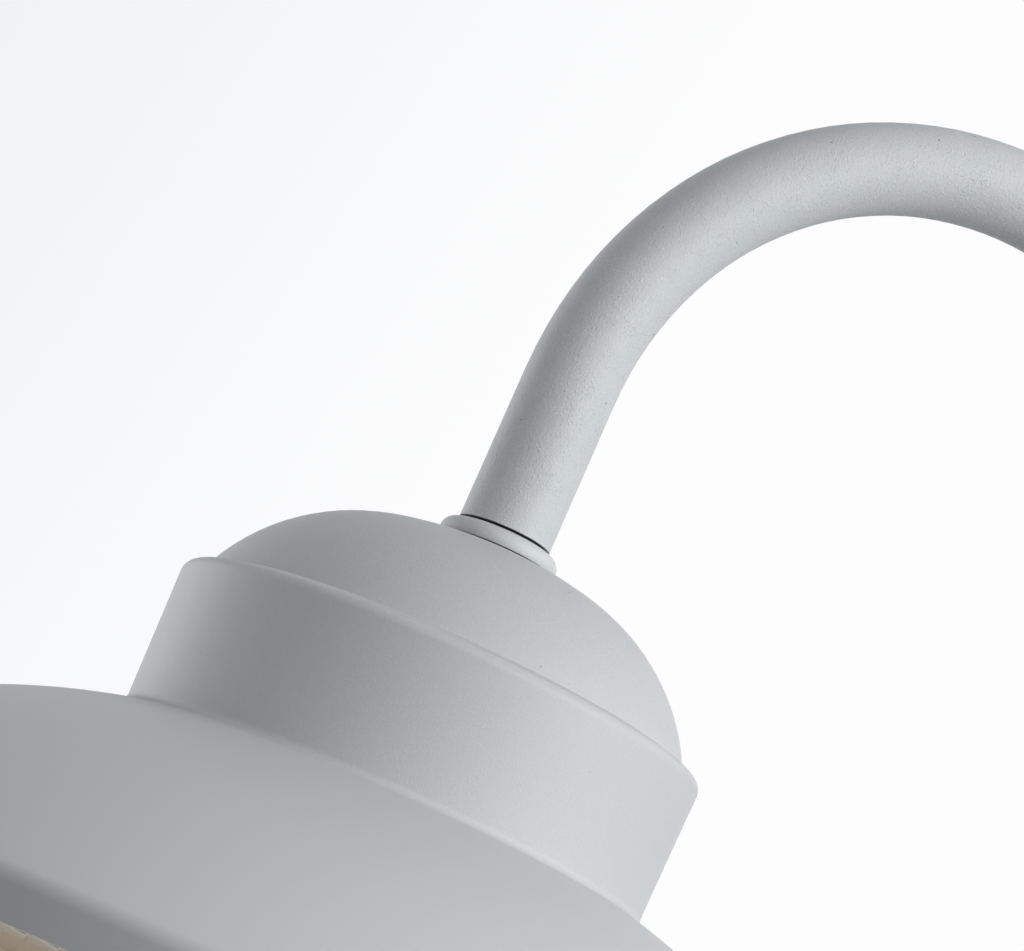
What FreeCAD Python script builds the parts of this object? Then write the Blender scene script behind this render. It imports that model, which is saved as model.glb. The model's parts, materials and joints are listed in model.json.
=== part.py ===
import FreeCAD, Part
import math
import os
import re
import Sketcher

# Outdoor wall light: a swan-neck tube from a round wall canopy carries a spun head
# (dome, drum and flared shade in one shell) with a screw lamp holder and its bulb.
# Row frame: origin on the wall at the canopy's centre, wall plane y = 0, light towards -Y, +Z up.
# Pieces stand in one of three frames, and "up" in each is: out of the wall from the wall plane ("wall"),
# out of the wall from the canopy's front ("canopy"), straight up from the flat land on the head ("head").

doc = FreeCAD.newDocument("WallLight")
sheet = doc.addObject("Spreadsheet::Sheet", "Sizes")

sizes = {
    # swan-neck tube
    "tube_r": 11.0,
    "tube_wall": 1.5,
    "wall_run": 8.0,
    "wall_bend_r": 45.0,
    "riser": 55.0,
    "swan_r": 94.0,
    "drop": 37.2,
    # threaded joint at each end of the tube
    "nipple_r": 5.0,
    "nipple_bore_r": 3.5,
    "nipple_grip": 10.0,
    "nipple_tail": 2.0,
    "thread_gap": 0.1,
    "plug_length": 12.0,
    "collar_r": 14.15,
    "collar_height": 4.1,
    "collar_round_r": 2.9,
    "joint_gasket_r": 13.3,
    "joint_gasket_t": 0.5,
    "tube_seal_r": 10.2,
    "tube_seal_t": 0.8,
    "lock_washer_r": 7.2,
    "lock_washer_t": 0.8,
    "lock_tooth_length": 1.6,
    "lock_tooth_width": 1.4,
    "lock_nut_corner_r": 8.1,
    "lock_nut_t": 4.0,
    # wall canopy and what is behind it
    "canopy_r": 60.0,
    "canopy_depth": 34.0,
    "canopy_wall": 2.0,
    "canopy_round_r": 9.0,
    "wall_gasket_t": 2.0,
    "wall_gasket_bore_r": 52.0,
    "wall_gasket_r": 59.5,
    "plate_r": 50.0,
    "plate_t": 2.0,
    "wall_hole_spacing": 60.0,
    "wall_slot_length": 12.0,
    "wall_slot_width": 5.2,
    "stud_spacing": 86.0,
    "stud_r": 2.0,
    "stud_flange_r": 3.6,
    "stud_flange_t": 1.0,
    "stud_tip": 0.6,
    "stud_grip": 5.0,
    "cap_nut_corner_r": 4.04,
    "cap_nut_hex_t": 3.2,
    "cap_nut_dome_r": 3.3,
    "seal_ring_r": 4.8,
    "seal_ring_t": 1.0,
    "cable_hole_r": 9.0,
    "grommet_lip_r": 11.5,
    "grommet_lip_t": 1.5,
    "grommet_neck_r": 8.0,
    "grommet_nose_r": 6.0,
    "grommet_nose_height": 3.5,
    "grommet_bore_r": 4.0,
    "fit_gap": 0.2,
    "earth_across": 16.0,
    "earth_height": 30.0,
    "earth_screw_r": 2.0,
    "earth_head_r": 3.8,
    "earth_head_t": 2.4,
    "earth_slot_width": 1.0,
    "earth_slot_depth": 1.2,
    "tag_r": 4.6,
    "tag_t": 0.8,
    "tag_neck_width": 3.0,
    "tag_barrel_r": 1.9,
    "tag_barrel_length": 6.0,
    # terminal block
    "block_drop": 27.0,
    "block_width": 30.0,
    "block_depth": 18.0,
    "block_base_t": 8.0,
    "block_tower_r": 3.2,
    "block_tower_height": 5.0,
    "pole_pitch": 10.0,
    "pole_screw_spacing": 9.0,
    "pole_height": 5.0,
    "clamp_r": 2.1,
    "clamp_bore_r": 1.3,
    "clamp_length": 16.0,
    "clamp_screw_r": 1.6,
    "clamp_screw_slot": 0.7,
    "clamp_screw_slot_depth": 0.8,
    "clamp_screw_sink": 1.0,
    "block_screw_r": 1.5,
    "block_screw_head_r": 2.4,
    "block_screw_head_t": 1.6,
    # spun head, outer outline from the collar down
    "head_wall": 1.2,
    "land_r": 14.6,
    "crown_r": 103.0,
    "knuckle_start_r": 27.9,
    "knuckle_r": 46.5,
    "crease_r": 57.7,
    "shoulder_slope": 15.9,
    "shoulder_round_r": 2.8,
    "drum_r": 62.65,
    "drum_foot_r": 61.75,
    "drum_foot_drop": 63.6,
    "foot_round_r": 2.2,
    "shade_slope": 14.45,
    "shade_bow_r": 167.1,
    "rim_r": 144.1,
    "rim_round_r": 5.5,
    "skirt_height": 7.0,
    "hem_r": 1.4,
    # lamp holder
    "holder_boss_r": 8.5,
    "holder_boss_height": 2.5,
    "holder_grip": 9.0,
    "holder_cap_r": 20.0,
    "holder_cap_round_r": 9.0,
    "holder_cap_height": 15.0,
    "holder_spigot_r": 18.2,
    "holder_spigot_t": 1.7,
    "holder_spigot_length": 6.0,
    "holder_length": 53.0,
    "holder_mouth_r": 14.8,
    "holder_mouth_round_r": 2.0,
    "holder_seam": 0.3,
    "grip_groove_r": 1.4,
    "grip_groove_depth": 0.6,
    "grip_margin": 5.0,
    "core_r": 16.2,
    "core_top_drop": 18.0,
    "core_t": 8.0,
    "core_flange_r": 18.0,
    "core_flange_t": 2.0,
    "screw_shell_r": 13.5,
    "screw_shell_wall": 0.4,
    "screw_shell_rim_r": 9.8,
    "screw_shell_length": 22.0,
    "live_post_across": 6.8,
    "neutral_post_across": 11.0,
    "post_width": 4.6,
    "post_height": 4.0,
    "post_bore_r": 1.1,
    "post_pin_r": 1.2,
    "post_rivet_r": 2.0,
    "post_rivet_t": 0.6,
    "post_screw_r": 1.5,
    "post_screw_rise": 1.2,
    "contact_width": 5.0,
    "contact_t": 0.5,
    "contact_outer": 9.0,
    "contact_bend": 4.0,
    "contact_rise": 3.0,
    "contact_tip": 1.8,
    # bulb
    "bulb_gap": 0.3,
    "bulb_eyelet_r": 4.8,
    "bulb_eyelet_t": 1.6,
    "bulb_insulator_height": 2.4,
    "bulb_insulator_r": 11.0,
    "bulb_cap_r": 13.2,
    "bulb_cap_wall": 0.4,
    "bulb_cap_shoulder": 1.6,
    "bulb_cap_height": 20.0,
    "glass_neck_r": 13.6,
    "glass_ball_r": 22.5,
    "glass_cone_slope": 19.0,
    "glass_wall": 0.8,
    # wires held inside the tube
    "wire_r": 1.0,
    "wire_spread": 1.5,
    "wire_bend_r": 5.0,
    "wire_turn_r": 2.4,
    "wire_lift_drop": 10.0,
    "wire_gather": 18.0,
    "earth_lift_drop": 13.0,
    "earth_wire_grip": 4.0,
}

# Places worked out in the sheet from the sizes above.
places = {
    "canopy_front": "wall_gasket_t + canopy_depth",
    "stack": "joint_gasket_t + collar_height + tube_seal_t",
    "collar_rise": "collar_height - collar_round_r",
    "collar_foot_r": "collar_r - collar_round_r + sqrt(collar_round_r ^ 2 - collar_rise ^ 2)",
    "tube_start": "canopy_front + stack",
    "riser_y": "tube_start + wall_run + wall_bend_r",
    "head_reach": "riser_y + 2 * swan_r",
    "swan_centre_z": "wall_bend_r + riser",
    "swan_top_z": "swan_centre_z + swan_r",
    "head_seat_z": "swan_centre_z - drop - stack",
    "crown_foot_z": "sqrt(crown_r ^ 2 - knuckle_start_r ^ 2) - sqrt(crown_r ^ 2 - land_r ^ 2)",
    "knuckle_centre_r": "knuckle_start_r * (1 - knuckle_r / crown_r)",
    "knuckle_centre_z": "crown_foot_z - knuckle_r * sqrt(1 - (knuckle_start_r / crown_r) ^ 2)",
    "crease_z": "knuckle_centre_z + sqrt(knuckle_r ^ 2 - (crease_r - knuckle_centre_r) ^ 2)",
    "shoulder_end_r": "drum_r - shoulder_round_r * (1 - sin(shoulder_slope))",
    "shoulder_end_z": "crease_z - (shoulder_end_r - crease_r) * tan(shoulder_slope)",
    "drum_top_z": "shoulder_end_z - shoulder_round_r * cos(shoulder_slope)",
    "shade_start_r": "drum_foot_r + foot_round_r * (1 - sin(shade_slope))",
    "shade_start_z": "-drum_foot_drop - (shade_start_r - drum_foot_r) * tan(shade_slope)",
    "foot_start_z": "shade_start_z + foot_round_r * cos(shade_slope)",
    "bow_centre_r": "shade_start_r - shade_bow_r * sin(shade_slope)",
    "bow_centre_z": "shade_start_z - shade_bow_r * cos(shade_slope)",
    "rim_share": "(rim_r - rim_round_r - bow_centre_r) / (shade_bow_r - rim_round_r)",
    "rim_fall_share": "sqrt(1 - rim_share ^ 2)",
    "shade_end_r": "bow_centre_r + shade_bow_r * rim_share",
    "shade_end_z": "bow_centre_z + shade_bow_r * rim_fall_share",
    "skirt_top_z": "shade_end_z - rim_round_r * rim_fall_share",
    "skirt_foot_z": "skirt_top_z - skirt_height",
    "head_nut_foot_z": "-head_wall - lock_washer_t - lock_nut_t",
    "core_top_z": "head_nut_foot_z - core_top_drop",
    "core_foot_z": "core_top_z - core_t",
    "cap_spigot_z": "head_nut_foot_z - holder_cap_height",
    "cap_foot_z": "cap_spigot_z - holder_spigot_length",
    "cap_round_top_z": "head_nut_foot_z - holder_boss_height",
    "cap_round_foot_z": "cap_round_top_z - holder_cap_round_r",
    "cap_hollow_r": "holder_spigot_r - holder_spigot_t",
    "cap_hollow_round_r": "cap_hollow_r - holder_cap_r + holder_cap_round_r",
    "cap_ceiling_z": "cap_round_foot_z + cap_hollow_round_r",
    "flange_foot_z": "cap_foot_z - core_flange_t",
    "pole_up": "plate_t + pole_height",
    "block_top": "plate_t + block_base_t",
    "tower_top": "block_top + block_tower_height",
    "post_bore_z": "core_top_z + post_height / 2",
    "holder_foot_z": "head_nut_foot_z - holder_length",
    "contact_tip_z": "core_foot_z - contact_t - contact_rise",
    "bulb_top_z": "contact_tip_z - bulb_gap",
    "grip_groove_out": "holder_cap_r + grip_groove_r - grip_groove_depth",
    "grip_groove_length": "holder_length - holder_cap_height - 2 * grip_margin",
    "insulator_top_z": "bulb_top_z - bulb_eyelet_t",
    "cap_top_z": "insulator_top_z - bulb_insulator_height",
    "glass_top_z": "cap_top_z - bulb_cap_shoulder - bulb_cap_height",
    "glass_side_r": "glass_ball_r * cos(glass_cone_slope)",
    "glass_cone_height": "(glass_side_r - glass_neck_r) / tan(glass_cone_slope)",
    "glass_side_z": "glass_top_z - glass_cone_height",
    "glass_ball_z": "glass_side_z - glass_ball_r * sin(glass_cone_slope)",
    "glass_neck_wall": "glass_wall / cos(glass_cone_slope)",
    "glass_inner_r": "(glass_ball_r - glass_wall) * cos(glass_cone_slope)",
    "glass_inner_z": "glass_ball_z + (glass_ball_r - glass_wall) * sin(glass_cone_slope)",
}

for row, (word, figure) in enumerate(list(sizes.items()) + list(places.items()), start=1):
    cell = "B%d" % row
    sheet.set("A%d" % row, word)
    sheet.set(cell, "=" + figure if word in places else str(figure))
    sheet.setAlias(cell, word)
doc.recompute()


def value(words):
    return float(sheet.evalExpression(words))


def bind(thing, where, words):
    # Names of sizes get the sheet's name before them, and names of functions, which a bracket follows, don't.
    thing.setExpression(where, re.sub(r"\b[a-z]\w*\b(?!\()", lambda found: "Sizes." + found.group(), words))


upright = FreeCAD.Rotation()
quarter_turn = FreeCAD.Rotation(FreeCAD.Vector(1, 0, 0), 90)
along_wall = FreeCAD.Rotation(FreeCAD.Vector(1, 0, 0), -90)
sideways = FreeCAD.Rotation(FreeCAD.Vector(0, 1, 0), 90)


def stand(thing, frame, up="0", across="0", above="0", turn=upright):
    # Puts a piece in a frame: up along its axis, across along X, and above along the third direction.
    if frame == "head":
        thing.Placement = FreeCAD.Placement(FreeCAD.Vector(), turn)
        where = {"x": across, "y": "%s - head_reach" % above, "z": "head_seat_z + (%s)" % up}
    else:
        thing.Placement = FreeCAD.Placement(FreeCAD.Vector(), quarter_turn.multiply(turn))
        front = "-canopy_front" if frame == "canopy" else "0"
        where = {"x": across, "y": "%s - (%s)" % (front, up), "z": above}
    for direction, words in where.items():
        bind(thing, "Placement.Base." + direction, words)


def pin_point(sketch, handle, across, up):
    # Holds one point of a sketch at a place given in the sheet's words.
    axes = (("DistanceX", -2, across), ("DistanceY", -1, up))
    for kind, axis, words in axes:
        figure = value(words)
        if abs(figure) < 1e-9:
            sketch.addConstraint(Sketcher.Constraint("PointOnObject", *handle, axis))
        else:
            number = sketch.addConstraint(Sketcher.Constraint(kind, *handle, figure))
            bind(sketch, "Constraints[%d]" % number, words)


def outline(sketch, corners, closed=True):
    # Each corner is (across, up). A corner reached by an arc adds its radius and the side it turns to.
    points = [FreeCAD.Vector(value(corner[0]), value(corner[1]), 0) for corner in corners]
    runs = len(corners) if closed else len(corners) - 1
    last = None
    for run in range(runs):
        start = points[run]
        following = (run + 1) % len(corners)
        end = points[following]
        arc = corners[following][2:]
        if arc:
            radius = value(arc[0])
            side = 1 if arc[1] == "left" else -1
            chord = end - start
            reach = math.sqrt(max(radius ** 2 - chord.Length ** 2 / 4, 0))
            normal = FreeCAD.Vector(-chord.y, chord.x, 0).normalize()
            centre = (start + end) * 0.5 + normal * (side * reach)
            first, second = (start, end) if side > 0 else (end, start)
            angles = [math.atan2(point.y - centre.y, point.x - centre.x) for point in (first, second)]
            if angles[1] < angles[0]:
                angles[1] += 2 * math.pi
            circle = Part.Circle(centre, FreeCAD.Vector(0, 0, 1), radius)
            number = sketch.addGeometry(Part.ArcOfCircle(circle, *angles), False)
            held = sketch.addConstraint(Sketcher.Constraint("Radius", number, radius))
            bind(sketch, "Constraints[%d]" % held, arc[0])
            handles = ((number, 1), (number, 2)) if side > 0 else ((number, 2), (number, 1))
        else:
            number = sketch.addGeometry(Part.LineSegment(start, end), False)
            handles = ((number, 1), (number, 2))
        if last is None:
            opening = handles[0]
        else:
            sketch.addConstraint(Sketcher.Constraint("Coincident", *last, *handles[0]))
        pin_point(sketch, handles[0], *corners[run][:2])
        last = handles[1]
    if closed:
        sketch.addConstraint(Sketcher.Constraint("Coincident", *last, *opening))
    else:
        pin_point(sketch, last, *corners[-1][:2])


def ring(sketch, radius, across="0", up="0"):
    centre = FreeCAD.Vector(value(across), value(up), 0)
    circle = Part.Circle(centre, FreeCAD.Vector(0, 0, 1), value(radius))
    number = sketch.addGeometry(circle, False)
    held = sketch.addConstraint(Sketcher.Constraint("Radius", number, value(radius)))
    bind(sketch, "Constraints[%d]" % held, radius)
    if across == up == "0":
        sketch.addConstraint(Sketcher.Constraint("Coincident", number, 3, -1, 1))
    else:
        pin_point(sketch, (number, 3), across, up)


pieces = []


def piece(thing, label=None):
    thing.Label = label or thing.Name
    pieces.append(thing)
    return thing


def new_body(name):
    body = doc.addObject("PartDesign::Body", name)
    body.Label = name
    return body


def sketch_on(body, role):
    plane = [part for part in body.Origin.OriginFeatures if part.Role == role][0]
    sketch = body.newObject("Sketcher::SketchObject", body.Label + "_sketch")
    sketch.AttachmentSupport = [(plane, "")]
    sketch.MapMode = "FlatFace"
    return sketch


def pad(body, sketch, length):
    made = body.newObject("PartDesign::Pad", body.Label + "_pad")
    made.Profile = sketch
    bind(made, "Length", length)
    return made


def turned(name, frame, corners, across="0", above="0"):
    # A piece turned about its own axis: corners are (radius, up).
    body = new_body(name)
    sketch = sketch_on(body, "XZ_Plane")
    outline(sketch, corners)
    made = body.newObject("PartDesign::Revolution", name + "_turn")
    made.Profile = sketch
    made.ReferenceAxis = (sketch, ["V_Axis"])
    stand(body, frame, "0", across, above)
    return body


def sleeve(name, frame, bore, radius, low, high, across="0"):
    return turned(name, frame, [(bore, low), (radius, low), (radius, high), (bore, high)], across)


def spun(name, frame, corners, wall):
    # A thin shell spun from sheet: the open outline is its outer face, and its wall lies inside.
    sketch = doc.addObject("Sketcher::SketchObject", name + "_outline")
    outline(sketch, corners, closed=False)
    band = doc.addObject("Part::Offset2D", name + "_band")
    band.Source = sketch
    band.Mode = "Skin"
    band.Join = "Intersection"
    band.Fill = True
    bind(band, "Value", wall)
    made = doc.addObject("Part::Revolution", name + "_spun")
    made.Source = band
    made.Axis = FreeCAD.Vector(0, 1, 0)
    made.Angle = 360
    stand(made, frame, turn=quarter_turn)
    return made


def rod(name, frame, radius, length, up="0", across="0", above="0", turn=upright):
    made = doc.addObject("Part::Cylinder", name)
    bind(made, "Radius", radius)
    bind(made, "Height", length)
    stand(made, frame, up, across, above, turn)
    return made


def block(name, frame, width, depth, height, up="0", across="0", above="0"):
    # A box centred on its place across and above, and standing on it.
    made = doc.addObject("Part::Box", name)
    bind(made, "Length", width)
    bind(made, "Width", depth)
    bind(made, "Height", height)
    stand(made, frame, up, "%s - (%s) / 2" % (across, width), "%s - (%s) / 2" % (above, depth))
    return made


def hexagon(name, frame, corner_r, length, up, across="0"):
    made = doc.addObject("Part::Prism", name)
    made.Polygon = 6
    bind(made, "Circumradius", corner_r)
    bind(made, "Height", length)
    stand(made, frame, up, across)
    return made


def fused(name, *parts):
    made = doc.addObject("Part::MultiFuse", name)
    made.Shapes = list(parts)
    return made


def cut(name, base, *tools):
    made = doc.addObject("Part::Cut", name)
    made.Base = base
    made.Tool = tools[0] if len(tools) == 1 else fused(name + "_tools", *tools)
    return made


def group(name, *parts):
    made = doc.addObject("Part::Compound", name)
    made.Links = list(parts)
    return piece(made, name)


def mirrored_pair(name, one):
    other = doc.addObject("Part::Mirroring", name + "_other")
    other.Source = one
    other.Normal = FreeCAD.Vector(1, 0, 0)
    return group(name, one, other)


# swan-neck tube
tube = piece(new_body("swan_neck_tube"), "swan_neck_tube")
run = sketch_on(tube, "YZ_Plane")
outline(run, [
    ("-tube_start", "0"),
    ("-tube_start - wall_run", "0"),
    ("-riser_y", "wall_bend_r", "wall_bend_r", "right"),
    ("-riser_y", "swan_centre_z"),
    ("-riser_y - swan_r", "swan_top_z", "swan_r", "left"),
    ("-head_reach", "swan_centre_z", "swan_r", "left"),
    ("-head_reach", "swan_centre_z - drop"),
], closed=False)
section = sketch_on(tube, "XZ_Plane")
bind(section, "AttachmentOffset.Base.z", "tube_start")
ring(section, "tube_r")
ring(section, "tube_r - tube_wall")
doc.recompute()
swept = tube.newObject("PartDesign::AdditivePipe", "swan_neck_sweep")
swept.Profile = section
swept.Spine = run

# threaded joint at each end: gasket, collar, seal, plug in the tube, nipple, toothed washer and nut
thread_bore = "nipple_r + thread_gap"
tooth_count = 10


def toothed_washer(name, frame, up):
    washer = new_body(name)
    flat = sketch_on(washer, "XY_Plane")
    ring(flat, "lock_washer_r")
    ring(flat, thread_bore)
    pad(washer, flat, "lock_washer_t")
    tooth = sketch_on(washer, "XY_Plane")
    root = "lock_washer_r - lock_tooth_width / 2"
    tip = "lock_washer_r + lock_tooth_length"
    outline(tooth, [
        (root, "-lock_tooth_width / 2"),
        (tip, "-lock_tooth_width / 2"),
        (tip, "lock_tooth_width / 2"),
        (root, "lock_tooth_width / 2"),
    ])
    one_tooth = pad(washer, tooth, "lock_washer_t")
    doc.recompute()
    teeth = washer.newObject("PartDesign::PolarPattern", name + "_teeth")
    teeth.Originals = [one_tooth]
    teeth.Axis = (flat, ["N_Axis"])
    teeth.Angle = 360
    teeth.Occurrences = tooth_count
    washer.Tip = teeth
    stand(washer, frame, up)
    return washer


def threaded_joint(end, frame, wall, nipple_foot):
    collar_top = "joint_gasket_t + collar_height"
    nut_foot = "-%s - lock_washer_t - lock_nut_t" % wall
    plug_r = "tube_r - tube_wall - thread_gap"
    piece(sleeve(end + "_joint_gasket", frame, thread_bore, "joint_gasket_r", "0", "joint_gasket_t"))
    piece(turned(end + "_collar", frame, [
        (thread_bore, "joint_gasket_t"),
        ("collar_foot_r", "joint_gasket_t"),
        ("collar_r - collar_round_r", collar_top, "collar_round_r", "left"),
        (thread_bore, collar_top),
    ]))
    piece(sleeve(end + "_tube_seal", frame, thread_bore, "tube_seal_r", collar_top, "stack"))
    piece(sleeve(end + "_end_plug", frame, thread_bore, plug_r, "stack", "stack + plug_length"))
    piece(sleeve(end + "_nipple", frame, "nipple_bore_r", "nipple_r", nipple_foot, "stack + nipple_grip"))
    piece(toothed_washer(end + "_lock_washer", frame, "-%s - lock_washer_t" % wall))
    hexed = hexagon(end + "_nut_hex", frame, "lock_nut_corner_r", "lock_nut_t", nut_foot)
    tapped = rod(end + "_nut_bore", frame, thread_bore, "lock_nut_t", nut_foot)
    piece(cut(end + "_lock_nut", hexed, tapped))


threaded_joint("wall", "canopy", "canopy_wall", "-canopy_wall - lock_washer_t - lock_nut_t - nipple_tail")
threaded_joint("head", "head", "head_wall", "head_nut_foot_z - holder_grip")

# wall gasket and mounting plate
piece(sleeve("wall_gasket", "wall", "wall_gasket_bore_r", "wall_gasket_r", "0", "wall_gasket_t"))

plate = piece(new_body("mounting_plate"))
plate_sketch = sketch_on(plate, "XY_Plane")
half_run = "(wall_slot_length - wall_slot_width) / 2"
half_width = "wall_slot_width / 2"
ring(plate_sketch, "plate_r")
ring(plate_sketch, "cable_hole_r")
ring(plate_sketch, "earth_screw_r + thread_gap", "earth_across", "earth_height")
for sign in ("-", ""):
    slot = sign + "wall_hole_spacing / 2"
    outline(plate_sketch, [
        ("%s - %s" % (slot, half_run), "-wall_slot_width / 2", half_width, "left"),
        ("%s + %s" % (slot, half_run), "-wall_slot_width / 2"),
        (slot + " + wall_slot_length / 2", "0", half_width, "left"),
        ("%s + %s" % (slot, half_run), half_width, half_width, "left"),
        ("%s - %s" % (slot, half_run), half_width),
        (slot + " - wall_slot_length / 2", "0", half_width, "left"),
    ])
    ring(plate_sketch, "stud_r + thread_gap", sign + "stud_spacing / 2")
    ring(plate_sketch, "block_screw_r + thread_gap", sign + "pole_pitch / 2", "-block_drop")
pad(plate, plate_sketch, "plate_t")
stand(plate, "wall")

# studs that carry the canopy, with a rubber ring and a domed nut on each
stud_top = "canopy_front + seal_ring_t + stud_grip"
stud_place = "stud_spacing / 2"
mirrored_pair("plate_studs", turned("stud", "wall", [
    ("0", "0"),
    ("stud_r", "0"),
    ("stud_r", "plate_t"),
    ("stud_flange_r", "plate_t"),
    ("stud_flange_r", "plate_t + stud_flange_t"),
    ("stud_r", "plate_t + stud_flange_t"),
    ("stud_r", stud_top + " - stud_tip"),
    ("stud_r - stud_tip", stud_top),
    ("0", stud_top),
], stud_place))
mirrored_pair("canopy_seal_rings", sleeve(
    "seal_ring", "canopy", "stud_r + fit_gap", "seal_ring_r", "0", "seal_ring_t", stud_place))
nut_hex = hexagon("cap_hex", "canopy", "cap_nut_corner_r", "cap_nut_hex_t", "seal_ring_t", stud_place)
nut_dome = doc.addObject("Part::Sphere", "cap_dome")
nut_dome.Angle1 = 0
bind(nut_dome, "Radius", "cap_nut_dome_r")
stand(nut_dome, "canopy", "seal_ring_t + cap_nut_hex_t", stud_place)
nut_bore = rod("cap_bore", "canopy", "stud_r + thread_gap", "stud_grip + fit_gap", "seal_ring_t", stud_place)
mirrored_pair("canopy_cap_nuts", cut("cap_nut", fused("cap_solid", nut_hex, nut_dome), nut_bore))

# wall canopy
canopy_shell = spun("canopy", "canopy", [
    (thread_bore, "0"),
    ("canopy_r - canopy_round_r", "0"),
    ("canopy_r", "-canopy_round_r", "canopy_round_r", "right"),
    ("canopy_r", "-canopy_depth"),
], "canopy_wall")
stud_holes = []
for side, sign in {"left": "-", "right": ""}.items():
    stud_holes.append(rod(
        side + "_stud_hole", "canopy", "stud_r + fit_gap", "2 * canopy_wall", "-2 * canopy_wall",
        sign + stud_place))
piece(cut("wall_canopy", canopy_shell, *stud_holes))

# cable grommet in the plate
lip_top = "plate_t + grommet_lip_t"
piece(turned("cable_grommet", "wall", [
    ("grommet_bore_r", "0"),
    ("cable_hole_r - fit_gap", "0"),
    ("cable_hole_r - fit_gap", "plate_t"),
    ("grommet_lip_r", "plate_t"),
    ("grommet_lip_r", lip_top),
    ("grommet_neck_r", lip_top),
    ("grommet_nose_r", lip_top + " + grommet_nose_height"),
    ("grommet_bore_r", lip_top + " + grommet_nose_height"),
]))


def screw(name, shank_r, foot, seat, head_r, top, slot_width, slot_depth, across, above):
    # A slotted screw along the wall frame's axis, with any wider head from seat to top.
    neck = [(shank_r, seat), (head_r, seat)] if head_r != shank_r else []
    corners = [("0", foot), (shank_r, foot)] + neck + [(head_r, top), ("0", top)]
    solid = turned(name + "_solid", "wall", corners, across, above)
    slot = block(name + "_slot", "wall", slot_width, "2 * (%s)" % head_r, slot_depth,
                 "%s - %s" % (top, slot_depth), across, above)
    return cut(name, solid, slot)


# earth screw and its ring tag
tag_top = "plate_t + tag_t"
piece(screw("earth_screw", "earth_screw_r", "fit_gap", tag_top, "earth_head_r", tag_top + " + earth_head_t",
            "earth_slot_width", "earth_slot_depth", "earth_across", "earth_height"))
barrel_top = "earth_height - tag_r"
barrel_up = "plate_t + tag_barrel_r"
barrel_foot = barrel_top + " - tag_barrel_length"
tag_place = ("plate_t", "earth_across", "earth_height")
neck_place = ("plate_t", "earth_across", barrel_top)
barrel_place = (barrel_up, "earth_across", barrel_foot, along_wall)
tag_ring = rod("tag_ring", "wall", "tag_r", "tag_t", *tag_place)
tag_neck = block("tag_neck", "wall", "tag_neck_width", "tag_neck_width", "tag_t", *neck_place)
barrel = rod("tag_barrel", "wall", "tag_barrel_r", "tag_barrel_length", *barrel_place)
tag_hole = rod("tag_hole", "wall", "earth_screw_r + fit_gap", "tag_t", *tag_place)
barrel_bore = rod("barrel_bore", "wall", "wire_r + thread_gap", "tag_barrel_length", *barrel_place)
piece(cut("earth_tag", fused("tag_solid", tag_ring, tag_neck, barrel), tag_hole, barrel_bore))

# terminal block with a brass clamp and two screws in each pole
base_place = ("plate_t", "0", "-block_drop")
base = block("block_base", "wall", "block_width", "block_depth", "block_base_t", *base_place)
block_solids = [base]
block_hollows = []
clamps = []
clamp_screws = []
block_screws = []
clamp_foot = "-block_drop - clamp_length / 2"
for number, pole in enumerate(("-pole_pitch", "0", "pole_pitch")):
    name = "pole%d" % number
    passage_place = ("pole_up", pole, "-block_drop - block_depth / 2", along_wall)
    clamp_place = ("pole_up", pole, clamp_foot, along_wall)
    block_hollows.append(rod(name + "_passage", "wall", "clamp_r + fit_gap", "block_depth", *passage_place))
    brass = rod(name + "_brass", "wall", "clamp_r", "clamp_length", *clamp_place)
    drilled = [rod(name + "_bore", "wall", "clamp_bore_r", "clamp_length", *clamp_place)]
    for row, sign in {"low": "-", "high": "+"}.items():
        place = "-block_drop %s pole_screw_spacing / 2" % sign
        spot = "%s_%s" % (name, row)
        on_top = ("block_top", pole, place)
        on_pole = ("pole_up", pole, place)
        block_solids.append(rod(spot + "_tower", "wall", "block_tower_r", "block_tower_height", *on_top))
        well = rod(spot + "_well", "wall", "clamp_screw_r + fit_gap", "tower_top - pole_up", *on_pole)
        block_hollows.append(well)
        drilled.append(rod(spot + "_tap", "wall", "clamp_screw_r + thread_gap", "clamp_r", *on_pole))
        clamp_screws.append(screw(
            spot + "_screw", "clamp_screw_r", "pole_up + wire_r + thread_gap", "block_top", "clamp_screw_r",
            "tower_top - clamp_screw_sink", "clamp_screw_slot", "clamp_screw_slot_depth", pole, place))
    clamps.append(cut(name + "_clamp", brass, *drilled))
for side, sign in {"left": "-", "right": ""}.items():
    place = sign + "pole_pitch / 2"
    fixing_place = ("plate_t", place, "-block_drop")
    fixing = rod(side + "_fixing", "wall", "block_screw_r + fit_gap", "block_base_t", *fixing_place)
    block_hollows.append(fixing)
    block_screws.append(screw(
        side + "_block_screw", "block_screw_r", "fit_gap", "block_top", "block_screw_head_r",
        "block_top + block_screw_head_t", "clamp_screw_slot", "clamp_screw_slot_depth", place, "-block_drop"))
piece(cut("terminal_block", fused("block_solid", *block_solids), *block_hollows))
group("terminal_clamps", *clamps)
group("terminal_screws", *clamp_screws)
group("terminal_block_screws", *block_screws)

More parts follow.
